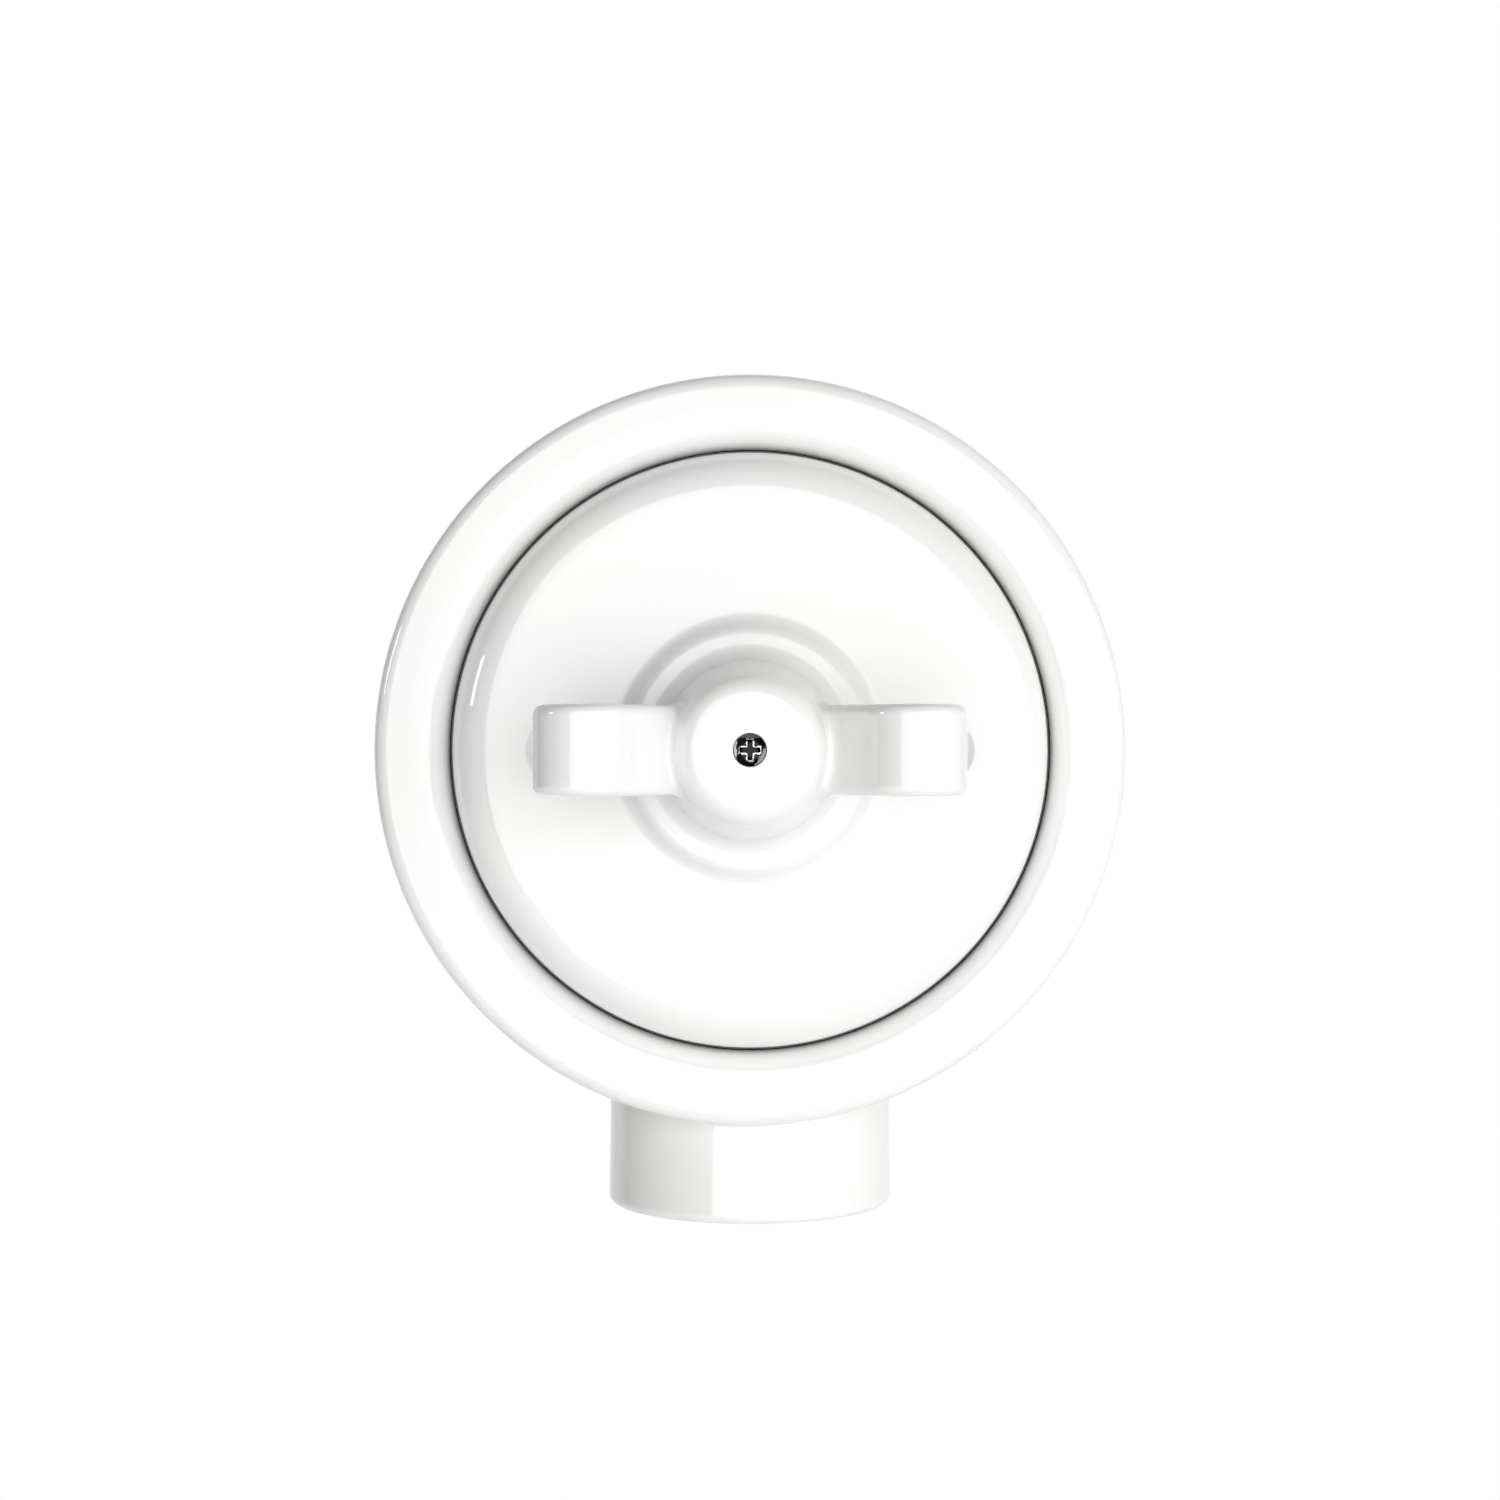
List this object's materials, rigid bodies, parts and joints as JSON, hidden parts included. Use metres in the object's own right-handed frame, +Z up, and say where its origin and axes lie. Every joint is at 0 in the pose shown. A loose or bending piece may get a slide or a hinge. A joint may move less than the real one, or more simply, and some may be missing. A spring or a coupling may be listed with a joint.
{
  "type": "porcelain rotary switch",
  "caption": "Round surface-mounted porcelain switch box with a conduit spout below and a butterfly knob that turns in quarter-turn clicks.",
  "frame": {"origin": "on the back face that lies on the wall, midway between the two wall screw holes and on the knob's axis", "axes": "+X to the right as the user sees it, +Y into the wall, so the knob points to -Y, and +Z up the wall, so the conduit spout points to -Z"},
  "size_m": [0.1, 0.072, 0.1137],
  "materials": {
    "porcelain": "gloss",
    "bare_ceramic": "matte",
    "brass": "satin",
    "zinc_steel": "satin",
    "spring_steel": "satin",
    "chrome": "polished",
    "phenolic": "satin",
    "fibre": "matte"
  },
  "bodies": {
    "housing": {"base_box": "porcelain", "cover_disc": "porcelain", "boss_inserts": "brass", "mounting_bridge": "zinc_steel", "bridge_screws": "zinc_steel", "threaded_bush": "brass", "bush_lock_washer": "zinc_steel", "bush_nut": "brass", "cover_washer": "fibre", "cover_ring_nut": "brass", "switch_body": "bare_ceramic", "block_screws": "zinc_steel", "mechanism_lid": "phenolic", "detent_springs": "spring_steel", "contact_one": "brass", "contact_common": "brass", "contact_two": "brass", "terminal_clamps": "zinc_steel", "terminal_screws": "zinc_steel"},
    "turning_parts": {"knob": "porcelain", "knob_screw": "chrome", "knob_washer": "fibre", "spindle": "zinc_steel", "spindle_clip": "spring_steel", "thrust_washer": "brass", "rotor": "phenolic", "rotor_pin": "spring_steel", "detent_cam": "zinc_steel", "wiper": "brass"}
  },
  "joints": [
    {"name": "knob_turn", "type": "hinge", "parent": "housing", "child": "turning_parts", "pos_m": [0, 0, 0], "axis": [0, -1, 0], "continuous": true}
  ]
}
